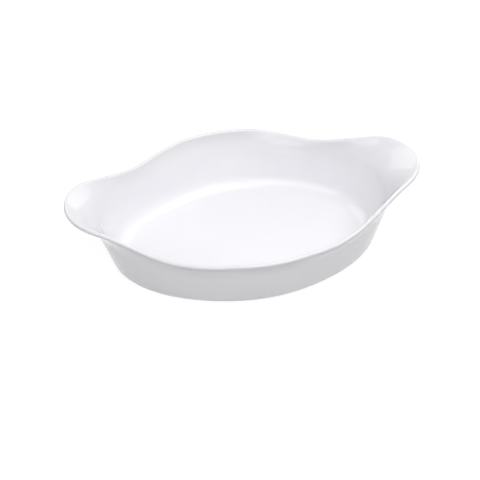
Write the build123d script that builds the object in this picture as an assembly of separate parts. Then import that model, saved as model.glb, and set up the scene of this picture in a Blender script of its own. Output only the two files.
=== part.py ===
from build123d import *
import os
from math import acos, atan, atan2, cos, hypot, pi, sin, sqrt, tan

# An oval gratin dish pressed in one piece of opal glass: flat base, leaning wall, a flared ear at each end.
# Sizes in millimetres. The origin is the middle of the base, X runs from ear to ear and Z is up.

# Rim seen from above: a wide arc on each long side, a small arc round each ear and straight flanks between
length = 320
width = 200
ear_radius = 44.2
side_radius = 130.8

# Rim seen from the side: its height above the table, and the runs over which it changes along the dish
side_height = 56.1
neck_height = 51.7
ear_height = 69.5
neck_dip_run = 54.1
ear_rise_run = 73.5
tip_level_run = 7.6

# Outer face of the wall: its oval at the table and its length at the crease, where the ear's lip begins
base_length = 235.4
base_width = 162.8
crease_length = 272.2
lip_height = 18.5
base_flank_share = 0.002
crease_flank_share = 0.09

# Section through the glass: the corners that each face makes with the base, and the curve of the ear's lip,
# which starts this far before the crease and lies flatter towards the rim
glass_thickness = 4
outer_corner_radius = 11
inner_corner_radius = 16
crease_reach = 5
lip_flatten_share = 0.5
lip_end_share = 0.5

half_length = length / 2
half_width = width / 2
half_glass = glass_thickness / 2
crease_height = ear_height - lip_height
neck_place = half_length - tip_level_run - ear_rise_run

# The section's middle line has three stretches, from the base up to the rim
corner, side, lip = range(3)
around_count = 64
corner_count = 5
side_count = 6
lip_count = 9
edge_count = 6
slope_share = 0.001


def smooth_step(share):
    inside = min(max(share, 0), 1)
    return inside**2 * (3 - 2 * inside)


def rim_height(place):
    dip = smooth_step(1 - (neck_place - place) / neck_dip_run)
    rise = smooth_step((place - neck_place) / ear_rise_run)
    return side_height - (side_height - neck_height) * dip + (ear_height - neck_height) * rise


def rim_radius(direction, inset):
    # Distance from the axis to the rim's outline drawn in by the inset, in a direction of the first quarter
    ear_centre = half_length - ear_radius
    side_centre = side_radius - half_width
    ear_arc = ear_radius - inset
    side_arc = side_radius - inset
    flank = atan2(side_centre, ear_centre) + acos((side_arc - ear_arc) / hypot(ear_centre, side_centre))
    ear_end = atan2(ear_arc * sin(flank), ear_centre + ear_arc * cos(flank))
    side_end = atan2(side_arc * sin(flank) - side_centre, side_arc * cos(flank))
    if direction < ear_end:
        return ear_centre * cos(direction) + sqrt(ear_arc**2 - (ear_centre * sin(direction)) ** 2)
    if direction < side_end:
        return (ear_centre * cos(flank) + ear_arc) / cos(direction - flank)
    return sqrt(side_arc**2 - (side_centre * cos(direction)) ** 2) - side_centre * sin(direction)


def oval_radius(direction, half_long, half_wide, flank_share):
    # An ellipse whose flanks, halfway round each quarter, are drawn in by the share
    ellipse = 1 / hypot(cos(direction) / half_long, sin(direction) / half_wide)
    return ellipse * (1 - flank_share * sin(2 * direction) ** 2)


def middle_point(heading, stretch, share, radius):
    # A point in the middle of the glass, on the upright section that runs out from the axis at this heading
    direction = abs(atan2(abs(sin(heading)), abs(cos(heading))))
    rim_place = rim_radius(direction, 0) * cos(direction)
    rim = Vector(rim_radius(direction, half_glass), rim_height(rim_place) - half_glass)
    base = oval_radius(direction, base_length / 2, base_width / 2, base_flank_share)
    crease_half_width = (base_width + (width - base_width) * crease_height / side_height) / 2
    top = oval_radius(direction, crease_length / 2, crease_half_width, crease_flank_share)
    lean = (top - base) / crease_height
    draft = atan(lean)
    foot = Vector(base + lean * half_glass - half_glass / cos(draft), half_glass)
    bend_height = rim.Y * crease_height / ear_height
    bend = foot + Vector(lean, 1) * (bend_height - half_glass)
    along_wall = (bend - foot).normalized()
    along_lip = (rim - bend).normalized()
    bend_start = bend - along_wall * crease_reach
    lip_end = (along_lip + (along_lip - along_wall) * lip_flatten_share).normalized()
    before_rim = rim - lip_end * ((rim - bend).length * lip_end_share)
    corner_centre = foot + Vector(-1 / tan(pi / 4 + draft / 2), 1) * radius
    corner_end = corner_centre + Vector(cos(draft), -sin(draft)) * radius
    if stretch == corner:
        turn = (pi / 2 - draft) * share - pi / 2
        point = corner_centre + Vector(cos(turn), sin(turn)) * radius
    elif stretch == side:
        point = corner_end + (bend_start - corner_end) * share
    else:
        left = 1 - share
        point = bend_start * left**3 + bend * (3 * share * left**2) + before_rim * (3 * share**2 * left)
        point += rim * share**3
    return Vector(point.X * cos(heading), point.X * sin(heading), point.Y)


def skin_point(heading, stretch, share, turn):
    # A point on the skin, half the glass from its middle: outside at no turn, inside at a half turn
    radius = outer_corner_radius - half_glass if turn < pi else inner_corner_radius + half_glass
    middle = middle_point(heading, stretch, share, radius)
    below = middle_point(heading, stretch, max(share - slope_share, 0), radius)
    above = middle_point(heading, stretch, min(share + slope_share, 1), radius)
    behind = middle_point(heading - slope_share, stretch, share, radius)
    ahead = middle_point(heading + slope_share, stretch, share, radius)
    outward = (ahead - behind).cross(above - below).normalized()
    upward = outward.cross(ahead - behind).normalized()
    return middle + (outward * cos(turn) + upward * sin(turn)) * half_glass


def ring(stretch, share, turn=0):
    # One closed curve round the dish, with its points closer together at the ears
    points = []
    for step in range(around_count):
        around = 2 * pi * step / around_count
        heading = atan2(half_width * sin(around), half_length * cos(around))
        points.append(skin_point(heading, stretch, share, turn))
    return Wire([Edge.make_spline(points, periodic=True)])


def shares(count):
    return [step / count for step in range(count + 1)]


def wall_places():
    places = []
    for stretch, count in ((side, side_count), (lip, lip_count)):
        places += [(stretch, share) for share in shares(count)[1:]]
    return places


def pressed_dish():
    # The skin runs up the outside, over the fire-polished edge and down the inside, band after band
    outer_corner = [ring(corner, share) for share in shares(corner_count)]
    outer_wall = outer_corner[-1:] + [ring(*place) for place in wall_places()]
    edge = outer_wall[-1:] + [ring(lip, 1, pi * share) for share in shares(edge_count)[1:]]
    inner_wall = edge[-1:] + [ring(*place, pi) for place in reversed(wall_places()[:-1])]
    inner_corner = [ring(corner, share, pi) for share in reversed(shares(corner_count))]
    inner_wall.append(inner_corner[0])
    faces = [Face(outer_corner[0]), Face(inner_corner[-1])]
    for band in (outer_corner, outer_wall, edge, inner_wall, inner_corner):
        faces += Shell.make_loft(band).faces()
    return Solid(Shell(faces))


os.makedirs("parts", exist_ok=True)
dish = pressed_dish()
dish.label = "dish"
export_step(dish, "parts/dish.step")
print("volume in cubic centimetres", round(dish.volume / 1000, 1))
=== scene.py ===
import bpy
from math import cos, pi, radians, sin
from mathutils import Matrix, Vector


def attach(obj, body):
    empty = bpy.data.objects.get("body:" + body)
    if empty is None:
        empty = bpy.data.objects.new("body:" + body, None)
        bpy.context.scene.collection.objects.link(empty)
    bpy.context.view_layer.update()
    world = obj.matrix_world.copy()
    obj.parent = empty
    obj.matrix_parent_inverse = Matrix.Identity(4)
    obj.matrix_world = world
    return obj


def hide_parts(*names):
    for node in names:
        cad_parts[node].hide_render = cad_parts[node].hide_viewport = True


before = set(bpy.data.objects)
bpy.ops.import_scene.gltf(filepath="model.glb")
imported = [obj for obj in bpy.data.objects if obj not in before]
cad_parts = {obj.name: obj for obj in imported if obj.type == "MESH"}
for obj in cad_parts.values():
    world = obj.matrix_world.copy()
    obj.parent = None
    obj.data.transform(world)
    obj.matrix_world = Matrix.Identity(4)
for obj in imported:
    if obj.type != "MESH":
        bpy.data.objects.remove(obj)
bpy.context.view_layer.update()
print("frame:", ", ".join(sorted(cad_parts)))


class Field:
    # a value in a node tree that takes part in plain sums
    def __init__(self, tree, socket):
        self.tree = tree
        self.socket = socket

    def apply(self, operation, *others):
        return workOut(self.tree, operation, self, *others)

    def __add__(self, other):
        return self.apply("ADD", other)

    def __sub__(self, other):
        return self.apply("SUBTRACT", other)

    def __mul__(self, other):
        return self.apply("MULTIPLY", other)

    def __truediv__(self, other):
        return self.apply("DIVIDE", other)

    def __rsub__(self, other):
        return workOut(self.tree, "SUBTRACT", other, self)

    def __rtruediv__(self, other):
        return workOut(self.tree, "DIVIDE", other, self)

    __radd__ = __add__


def plug(tree, socket, value):
    source = value.socket if isinstance(value, Field) else value
    if isinstance(source, bpy.types.NodeSocket):
        tree.links.new(source, socket)
    else:
        socket.default_value = source


def addNode(tree, kind, inputs=None, **settings):
    node = tree.nodes.new(kind)
    for name, value in settings.items():
        setattr(node, name, value)
    for key, value in (inputs or {}).items():
        plug(tree, node.inputs[key], value)
    return node


def workOut(tree, operation, *values):
    node = addNode(tree, "ShaderNodeMath", dict(enumerate(values)), operation=operation)
    return Field(tree, node.outputs[0])


def emptyTree(owner):
    # the node tree of a new material or world, without the nodes that it starts with
    owner.use_nodes = True
    owner.node_tree.nodes.clear()
    return owner.node_tree


def directionOf(look):
    # from the dish to a camera or lamp: azimuth 0 is in front, and it grows to the right
    turn, tilt = radians(look["azimuth"]), radians(look["elevation"])
    return Vector((sin(turn) * cos(tilt), -cos(turn) * cos(tilt), sin(tilt)))


# Camera: the photograph's own angle and framing
cameraView = {
    "azimuth": -14.87,
    "elevation": 38.68,
    "distance": 1.7632,
    "lens": 146.72,
    "target": (-0.00207, 0.00642, 0),
    "clip": (0.05, 20),
}


def makeCamera(view):
    back = directionOf(view)
    camera = bpy.data.objects.new("camera", bpy.data.cameras.new("camera"))
    camera.data.lens = view["lens"]
    camera.data.clip_start, camera.data.clip_end = view["clip"]
    camera.location = Vector(view["target"]) + back * view["distance"]
    camera.rotation_euler = (-back).to_track_quat("-Z", "Y").to_euler()
    bpy.context.scene.collection.objects.link(camera)
    bpy.context.scene.camera = camera


makeCamera(cameraView)
print("camera placed")

# Opal glass: dense cool white with faint clouding, and a greyer tone mixed in towards the rim as
# painted shade
opalLook = {
    "cloudTones": ((0.36, (0.858, 0.853, 0.884, 1)), (0.64, (0.878, 0.873, 0.902, 1))),
    "cloudScale": 9,
    "cloudDetail": 3,
    # painted shade: the grey tone laid over the rim's outer face and rounded edge
    "paintedShadeTone": (0.70, 0.705, 0.725, 1),
    "refraction": 1.5,
    "scatter": 0.25,
    "scatterDepth": 0.002,
    "scatterReach": (1, 1, 0.95),
    "polish": (0.05, 0.09),
    "polishBetween": (0.3, 0.7),  # the noise values that give its smooth and its dull end
    "polishScale": 14,
    "polishDetail": 4,
    "polishRoughness": 0.6,
    "waveScale": 38,
    "waveDetail": 1,
    "waveDepth": 0.00004,
    "grainScale": 1100,
    "grainDetail": 2,
    "grainDepth": 0.0000012,
}
mixFactor, mixLow, mixHigh, mixResult = 0, 6, 7, 2  # a Mix node's sockets for colours


def addRamp(tree, factor, stops):
    ramp = addNode(tree, "ShaderNodeValToRGB", {"Fac": factor})
    for element, (place, tone) in zip(ramp.color_ramp.elements, stops):
        element.position = place
        element.color = tone
    return ramp.outputs["Color"]


def addNoise(tree, place, scale, detail, roughness=0.5):
    noise = addNode(tree, "ShaderNodeTexNoise",
                    {"Vector": place, "Scale": scale, "Detail": detail, "Roughness": roughness})
    return noise.outputs["Fac"]


def makeOpalGlass(look):
    material = bpy.data.materials.new("opalGlass")
    tree = emptyTree(material)
    place = addNode(tree, "ShaderNodeTexCoord").outputs["Object"]
    cloudNoise = addNoise(tree, place, look["cloudScale"], look["cloudDetail"])
    cloud = addRamp(tree, cloudNoise, look["cloudTones"])
    # how much painted shade each point takes, as stored by the dish's node tree
    paintedShade = addNode(tree, "ShaderNodeAttribute", attribute_name="paintedShade").outputs["Fac"]
    tone = addNode(tree, "ShaderNodeMix", {
        mixFactor: paintedShade, mixLow: cloud, mixHigh: look["paintedShadeTone"]}, data_type="RGBA")
    (polishFrom, polishTo), (smooth, dull) = look["polishBetween"], look["polish"]
    polishNoise = addNoise(
        tree, place, look["polishScale"], look["polishDetail"], look["polishRoughness"])
    polish = addNode(tree, "ShaderNodeMapRange", {
        "Value": polishNoise,
        "From Min": polishFrom, "From Max": polishTo, "To Min": smooth, "To Max": dull})
    waves = addNode(tree, "ShaderNodeBump", {
        "Height": addNoise(tree, place, look["waveScale"], look["waveDetail"]),
        "Strength": 1, "Distance": look["waveDepth"]})
    grain = addNode(tree, "ShaderNodeBump", {
        "Height": addNoise(tree, place, look["grainScale"], look["grainDetail"]),
        "Strength": 1, "Distance": look["grainDepth"], "Normal": waves.outputs["Normal"]})
    glass = addNode(tree, "ShaderNodeBsdfPrincipled", {
        "Base Color": tone.outputs[mixResult],
        "Roughness": polish.outputs[0],
        "IOR": look["refraction"],
        "Normal": grain.outputs["Normal"],
        "Subsurface Weight": look["scatter"],
        "Subsurface Radius": look["scatterReach"],
        "Subsurface Scale": look["scatterDepth"],
    })
    addNode(tree, "ShaderNodeOutputMaterial", {"Surface": glass.outputs[0]})
    return material


# The pressed dish: the same sizes as the model, in metres
dishSizes = {
    "Length": 0.320,
    "Width": 0.200,
    "Ear Radius": 0.0442,
    "Side Radius": 0.1308,
    "Side Height": 0.0561,
    "Neck Height": 0.0517,
    "Ear Height": 0.0695,
    "Neck Dip Run": 0.0541,
    "Ear Rise Run": 0.0735,
    "Tip Level Run": 0.0076,
    "Base Length": 0.2354,
    "Base Width": 0.1628,
    "Crease Length": 0.2722,
    "Lip Height": 0.0185,
    "Base Flank Share": 0.002,
    "Crease Flank Share": 0.09,
    "Glass Thickness": 0.004,
    "Outer Corner Radius": 0.011,
    "Inner Corner Radius": 0.016,
    "Crease Reach": 0.005,
    "Lip Flatten Share": 0.5,
    "Lip End Share": 0.5,
    # painted shade near the rim: its reach from the rim and its share on the inner skin, the rim's
    # upper face and the ears
    "Painted Shade Reach": 0.013,
    "Inner Painted Shade": 0.75,
    "Top Painted Shade": 0.2,
    "Ear Painted Shade": 0.15,
}
dishCounts = {
    "Around": 288,
    "Floor Rows": 10,
    "Corner Rows": 8,
    "Side Rows": 8,
    "Lip Rows": 16,
    "Edge Steps": 12,
}
weldDistance = 0.00002
halfGrid = 0.5  # from the middle of a grid to its edges
facingUp = (-0.2, 0.8)  # the painted shade on the rim's face turns from the outer share to the upper one in between


def makeDishTree():
    # Grids of around by share are laid on the middle of the glass, then drawn out to its two skins
    tree = bpy.data.node_groups.new("pressedDish", "GeometryNodeTree")
    tree.is_modifier = True
    for defaults, kind in ((dishSizes, "NodeSocketFloat"), (dishCounts, "NodeSocketInt")):
        for name, value in defaults.items():
            socket = tree.interface.new_socket(name, in_out="INPUT", socket_type=kind)
            socket.default_value = value
    tree.interface.new_socket("Glass", in_out="INPUT", socket_type="NodeSocketMaterial")
    tree.interface.new_socket("Dish", in_out="OUTPUT", socket_type="NodeSocketGeometry")
    given = addNode(tree, "NodeGroupInput").outputs

    def size(name):
        return Field(tree, given[name])

    def mapRange(value, low, high, toLow, toHigh, kind="SMOOTHSTEP"):
        node = addNode(tree, "ShaderNodeMapRange", {
            0: value, 1: low, 2: high, 3: toLow, 4: toHigh}, interpolation_type=kind)
        return Field(tree, node.outputs[0])

    def switch(low, high, isHigh):
        # low where isHigh is 0, high where it is 1 and a blend in between
        return low + (high - low) * isHigh

    position = addNode(tree, "GeometryNodeInputPosition").outputs[0]
    flat = addNode(tree, "ShaderNodeSeparateXYZ", {0: position}).outputs
    around = (Field(tree, flat[0]) + halfGrid) * (2 * pi)
    share = Field(tree, flat[1]) + halfGrid

    halfLength, halfWidth = size("Length") / 2, size("Width") / 2
    halfGlass = size("Glass Thickness") / 2
    alongX, alongY = halfLength * around.apply("COSINE"), halfWidth * around.apply("SINE")
    heading = alongY.apply("ARCTAN2", alongX)
    towardsX, towardsY = heading.apply("COSINE"), heading.apply("SINE")
    direction = towardsY.apply("ABSOLUTE").apply("ARCTAN2", towardsX.apply("ABSOLUTE"))
    dirCos, dirSin = direction.apply("COSINE"), direction.apply("SINE")

    # Rim from above: ear arc, straight flank and side arc, each drawn in by the inset
    earCentre = halfLength - size("Ear Radius")
    sideCentre = size("Side Radius") - halfWidth
    centreGap = (earCentre * earCentre + sideCentre * sideCentre).apply("SQRT")
    flank = sideCentre.apply("ARCTAN2", earCentre) + (
        (size("Side Radius") - size("Ear Radius")) / centreGap).apply("ARCCOSINE")
    flankCos, flankSin = flank.apply("COSINE"), flank.apply("SINE")

    def rimRadius(inset):
        earArc, sideArc = size("Ear Radius") - inset, size("Side Radius") - inset
        earEnd = (earArc * flankSin).apply("ARCTAN2", earCentre + earArc * flankCos)
        sideEnd = (sideArc * flankSin - sideCentre).apply("ARCTAN2", sideArc * flankCos)
        earAcross, sideAcross = earCentre * dirSin, sideCentre * dirCos
        onEar = earCentre * dirCos + (earArc * earArc - earAcross * earAcross).apply("SQRT")
        onFlank = (earCentre * flankCos + earArc) / (direction - flank).apply("COSINE")
        onSide = (sideArc * sideArc - sideAcross * sideAcross).apply("SQRT") - sideCentre * dirSin
        pastEar = switch(onEar, onFlank, direction.apply("GREATER_THAN", earEnd))
        return switch(pastEar, onSide, direction.apply("GREATER_THAN", sideEnd))

    # Rim from the side: level along the sides, a dip at the neck and a rise to the ear
    rimPlace = rimRadius(0) * dirCos
    neckPlace = halfLength - size("Tip Level Run") - size("Ear Rise Run")
    dip = mapRange(rimPlace, neckPlace - size("Neck Dip Run"), neckPlace,
                   0, size("Side Height") - size("Neck Height"))
    rise = mapRange(rimPlace, neckPlace, neckPlace + size("Ear Rise Run"),
                    0, size("Ear Height") - size("Neck Height"))
    rimR, rimZ = rimRadius(halfGlass), size("Side Height") - dip + rise - halfGlass

    def ovalRadius(halfLong, halfWide, flankShare):
        long, wide = dirCos / halfLong, dirSin / halfWide
        twice = (direction * 2).apply("SINE")
        return (1 - flankShare * twice * twice) / (long * long + wide * wide).apply("SQRT")

    # Leaning wall from the foot to the bend, where the ear's lip begins
    creaseHeight = size("Ear Height") - size("Lip Height")
    creaseHalfWidth = (size("Base Width") + (size("Width") - size("Base Width"))
                       * creaseHeight / size("Side Height")) / 2
    base = ovalRadius(size("Base Length") / 2, size("Base Width") / 2, size("Base Flank Share"))
    top = ovalRadius(size("Crease Length") / 2, creaseHalfWidth, size("Crease Flank Share"))
    lean = (top - base) / creaseHeight
    draft = lean.apply("ARCTANGENT")
    draftCos, draftSin = draft.apply("COSINE"), draft.apply("SINE")
    footR = base + lean * halfGlass - halfGlass / draftCos
    bendZ = rimZ * creaseHeight / size("Ear Height")
    bendR = footR + lean * (bendZ - halfGlass)
    startR = bendR - draftSin * size("Crease Reach")
    startZ = bendZ - draftCos * size("Crease Reach")

    # Lip of the ear: it bends out at the crease and lies flatter towards the rim
    def hypotenuse(across, up):
        return (across * across + up * up).apply("SQRT")

    lipLength = hypotenuse(rimR - bendR, rimZ - bendZ)
    alongR, alongZ = (rimR - bendR) / lipLength, (rimZ - bendZ) / lipLength
    endR = alongR + (alongR - draftSin) * size("Lip Flatten Share")
    endZ = alongZ + (alongZ - draftCos) * size("Lip Flatten Share")
    pull = lipLength * size("Lip End Share") / hypotenuse(endR, endZ)
    nearRimR, nearRimZ = rimR - endR * pull, rimZ - endZ * pull

    def between(low, high):
        return low + (high - low) * share

    def curved(start, bend, nearRim, rim):
        left = 1 - share
        return ((start * left + bend * share * 3) * left * left
                + (nearRim * left * 3 + rim * share) * share * share)

    def lay(geometry, r, z):
        place = addNode(tree, "ShaderNodeCombineXYZ", {0: r * towardsX, 1: r * towardsY, 2: z})
        laid = addNode(tree, "GeometryNodeSetPosition", {
            "Geometry": geometry, "Position": place.outputs[0]})
        return laid.outputs[0]

    def store(geometry, paintedShade):
        node = addNode(tree, "GeometryNodeStoreNamedAttribute", {
            "Geometry": geometry, "Name": "paintedShade", "Value": paintedShade}, data_type="FLOAT")
        return node.outputs[0]

    # Painted shade near the rim: strongest on the outer face at the rim,
    # weakest on the upper face of the broad ears
    atEar = mapRange(rimPlace, neckPlace, neckPlace + size("Ear Rise Run"), 0, 1)
    innerPaintedShade = switch(size("Inner Painted Shade"), size("Ear Painted Shade"), atEar)
    topPaintedShade = switch(size("Top Painted Shade"), size("Ear Painted Shade"), atEar)
    towardsRim = mapRange(lipLength * (1 - share), 0, size("Painted Shade Reach"), 1, 0, "LINEAR")

    def middleOfGlass(radius, paintedShade):
        cornerR = footR - radius / (draft / 2 + pi / 4).apply("TANGENT")
        cornerZ = halfGlass + radius
        turn = (pi / 2 - draft) * share - pi / 2
        turnedR = cornerR + turn.apply("COSINE") * radius
        turnedZ = cornerZ + turn.apply("SINE") * radius
        sideR, sideZ = cornerR + draftCos * radius, cornerZ - draftSin * radius
        lipR = curved(startR, bendR, nearRimR, rimR)
        lipZ = curved(startZ, bendZ, nearRimZ, rimZ)
        stretches = (
            ("Floor Rows", cornerR * share, halfGlass, 0),
            ("Corner Rows", turnedR, turnedZ, 0),
            ("Side Rows", between(sideR, startR), between(sideZ, startZ), 0),
            ("Lip Rows", lipR, lipZ, paintedShade),
        )
        middle = addNode(tree, "GeometryNodeJoinGeometry")
        for rows, r, z, paintedShadeShare in stretches:
            grid = addNode(tree, "GeometryNodeMeshGrid", {
                "Size X": 2 * halfGrid, "Size Y": 2 * halfGrid,
                "Vertices X": size("Around") + 1, "Vertices Y": size(rows) + 1})
            tree.links.new(lay(store(grid.outputs["Mesh"], paintedShadeShare), r, z), middle.inputs[0])
        welded = addNode(tree, "GeometryNodeMergeByDistance", {
            "Geometry": middle.outputs[0], "Distance": weldDistance})
        return welded.outputs[0]

    normal = addNode(tree, "GeometryNodeInputNormal").outputs[0]

    def skin(middle, distance):
        offset = addNode(tree, "ShaderNodeVectorMath", {
            0: normal, "Scale": distance}, operation="SCALE")
        moved = addNode(tree, "GeometryNodeSetPosition", {
            "Geometry": middle, "Offset": offset.outputs[0]})
        return moved.outputs[0]

    # The corner at the base is tighter outside than inside, so each skin has a middle of its own
    # painted shade falls off with the square of the distance from the rim, and less of it goes on the
    # inner skin
    outerPaintedShade = towardsRim * towardsRim
    outerMiddle = middleOfGlass(size("Outer Corner Radius") - halfGlass, outerPaintedShade)
    innerMiddle = middleOfGlass(
        size("Inner Corner Radius") + halfGlass, outerPaintedShade * innerPaintedShade)
    outside = skin(outerMiddle, halfGlass)
    flipped = addNode(tree, "GeometryNodeFlipFaces", {"Mesh": skin(innerMiddle, halfGlass * -1)})
    inside = flipped.outputs[0]

    # Fire-polished edge: half a round drawn along the rim, standing on the wall's own slant
    lineEnd = addNode(tree, "ShaderNodeCombineXYZ", {
        0: halfGrid - 2 * halfGrid / size("Around"), 1: halfGrid})
    line = addNode(tree, "GeometryNodeCurvePrimitiveLine", {
        "Start": (-halfGrid, halfGrid, 0), "End": lineEnd.outputs[0]})
    points = addNode(tree, "GeometryNodeResampleCurve", {
        "Curve": line.outputs[0], "Count": size("Around")})
    rail = addNode(tree, "GeometryNodeSetSplineCyclic", {
        "Geometry": lay(store(points.outputs[0], topPaintedShade), rimR, rimZ), "Cyclic": True})
    nearest = addNode(tree, "GeometryNodeSampleNearest", {"Geometry": outerMiddle}, domain="POINT")
    slant = addNode(tree, "GeometryNodeSampleIndex", {
        "Geometry": outerMiddle, "Index": nearest.outputs[0]}, data_type="FLOAT_VECTOR")
    plug(tree, slant.inputs["Value"], normal)
    leaned = addNode(tree, "GeometryNodeSetCurveNormal", {"Curve": rail.outputs[0]}, mode="FREE")
    plug(tree, leaned.inputs["Normal"], slant.outputs[0])
    halfRound = addNode(tree, "GeometryNodeCurveArc", {
        "Resolution": size("Edge Steps") + 1, "Radius": halfGlass,
        "Start Angle": 0, "Sweep Angle": -pi})
    strip = addNode(tree, "GeometryNodeCurveToMesh", {
        "Curve": leaned.outputs[0], "Profile Curve": halfRound.outputs[0]})
    edge = addNode(tree, "GeometryNodeFlipFaces", {"Mesh": strip.outputs[0]})

    # painted shade on the rounded edge: full where it faces out or down, the stored share where it
    # faces up
    stored = addNode(tree, "GeometryNodeInputNamedAttribute", {"Name": "paintedShade"}, data_type="FLOAT")
    faceUp = addNode(tree, "ShaderNodeSeparateXYZ", {0: normal}).outputs[2]
    isUpper = mapRange(faceUp, *facingUp, 0, 1)
    edgePaintedShade = switch(1, Field(tree, stored.outputs[0]), isUpper)

    whole = addNode(tree, "GeometryNodeJoinGeometry")
    for part in (outside, inside, store(edge.outputs[0], edgePaintedShade)):
        tree.links.new(part, whole.inputs[0])
    closed = addNode(tree, "GeometryNodeMergeByDistance", {
        "Geometry": whole.outputs[0], "Distance": weldDistance})
    smooth = addNode(tree, "GeometryNodeSetShadeSmooth", {
        "Geometry": closed.outputs[0], "Shade Smooth": True})
    real = addNode(tree, "GeometryNodeRealizeInstances", {"Geometry": smooth.outputs[0]})
    glazed = addNode(tree, "GeometryNodeSetMaterial", {
        "Geometry": real.outputs[0], "Material": given["Glass"]})
    addNode(tree, "NodeGroupOutput", {"Dish": glazed.outputs[0]})
    return tree


def makeDish(material):
    dish = bpy.data.objects.new("pressedDish", bpy.data.meshes.new("pressedDish"))
    bpy.context.scene.collection.objects.link(dish)
    tree = makeDishTree()
    modifier = dish.modifiers.new("pressedDish", "NODES")
    modifier.node_group = tree
    values = {**dishSizes, **dishCounts, "Glass": material}
    for socket in tree.interface.items_tree:
        if socket.in_out == "INPUT":
            modifier[socket.identifier] = values[socket.name]
    shaped = dish.evaluated_get(bpy.context.evaluated_depsgraph_get())
    mesh = bpy.data.meshes.new_from_object(shaped)
    dish.modifiers.remove(modifier)
    dish.data = mesh
    mesh.name = "pressedDish"
    return dish


dish = makeDish(makeOpalGlass(opalLook))
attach(dish, "root")
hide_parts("dish")
print("dish pressed:", len(dish.data.polygons), "faces")

# Studio: a pale table, a white room and soft boxes, each placed by its direction from the dish
studio = {
    "floorSize": 8,
    "floorBounce": (0.7, 0.7, 0.7, 1),
    "floorWhite": 0.86,
    "floorShade": (0.24, 0.24, 0.247, 1),
    "air": (0.03, 0.03, 0.031, 1),
    "white": (1, 1, 1, 1),
    "lampDistance": 1.2,
    "lampAim": (0, 0, 0.03),
    "lamps": (
        {"name": "frontLeft", "azimuth": -45, "elevation": 42, "size": (1.1, 0.8), "power": 5.3},
        {"name": "front", "azimuth": 5, "elevation": 42, "size": (1.0, 0.8), "power": 2.1},
        {"name": "rightHigh", "azimuth": 55, "elevation": 64, "size": (1.2, 0.9), "power": 8.9},
        {"name": "backRight", "azimuth": 122, "elevation": 36, "size": (0.95, 0.8), "power": 3.7},
        {"name": "backLeft", "azimuth": -155, "elevation": 38, "size": (0.87, 0.78), "power": 3.3},
    ),
}


def addSeen(tree):
    # 1 for what the camera, the gloss and clear things look at, 0 for the light that it gives
    path = addNode(tree, "ShaderNodeLightPath").outputs
    camera, glossy = Field(tree, path["Is Camera Ray"]), Field(tree, path["Is Glossy Ray"])
    return camera.apply("MAXIMUM", glossy.apply("MAXIMUM", path["Is Transmission Ray"]))


def makeFloor(look):
    material = bpy.data.materials.new("paleTable")
    tree = emptyTree(material)
    plain = addNode(tree, "ShaderNodeBsdfDiffuse", {"Color": look["floorBounce"]})
    white = addNode(tree, "ShaderNodeEmission", {
        "Color": look["white"], "Strength": look["floorWhite"]})
    shade = addNode(tree, "ShaderNodeBsdfDiffuse", {"Color": look["floorShade"]})
    shown = addNode(tree, "ShaderNodeAddShader", {0: white.outputs[0], 1: shade.outputs[0]})
    table = addNode(tree, "ShaderNodeMixShader", {
        0: addSeen(tree), 1: plain.outputs[0], 2: shown.outputs[0]})
    addNode(tree, "ShaderNodeOutputMaterial", {"Surface": table.outputs[0]})
    half = look["floorSize"] / 2
    corners = [(-half, -half, 0), (half, -half, 0), (half, half, 0), (-half, half, 0)]
    mesh = bpy.data.meshes.new("table")
    mesh.from_pydata(corners, [], [(0, 1, 2, 3)])
    mesh.materials.append(material)
    floor = bpy.data.objects.new("table", mesh)
    bpy.context.scene.collection.objects.link(floor)


def makeAir(look):
    world = bpy.data.worlds.new("studio")
    tree = emptyTree(world)
    air = addNode(tree, "ShaderNodeBackground", {"Color": look["air"], "Strength": 1})
    white = addNode(tree, "ShaderNodeBackground", {"Color": look["white"], "Strength": 1})
    mixed = addNode(tree, "ShaderNodeMixShader", {
        0: addSeen(tree), 1: air.outputs[0], 2: white.outputs[0]})
    addNode(tree, "ShaderNodeOutputWorld", {"Surface": mixed.outputs[0]})
    bpy.context.scene.world = world


def makeLamp(look):
    lamp = bpy.data.lights.new(look["name"], "AREA")
    lamp.shape = "RECTANGLE"
    lamp.size, lamp.size_y = look["size"]
    lamp.energy = look["power"]
    away = directionOf(look)
    box = bpy.data.objects.new(look["name"], lamp)
    box.location = Vector(studio["lampAim"]) + away * studio["lampDistance"]
    box.rotation_euler = away.to_track_quat("Z", "Y").to_euler()
    bpy.context.scene.collection.objects.link(box)


makeFloor(studio)
makeAir(studio)
for lampLook in studio["lamps"]:
    makeLamp(lampLook)
bpy.context.scene.view_settings.view_transform = "Standard"
print("studio lit")
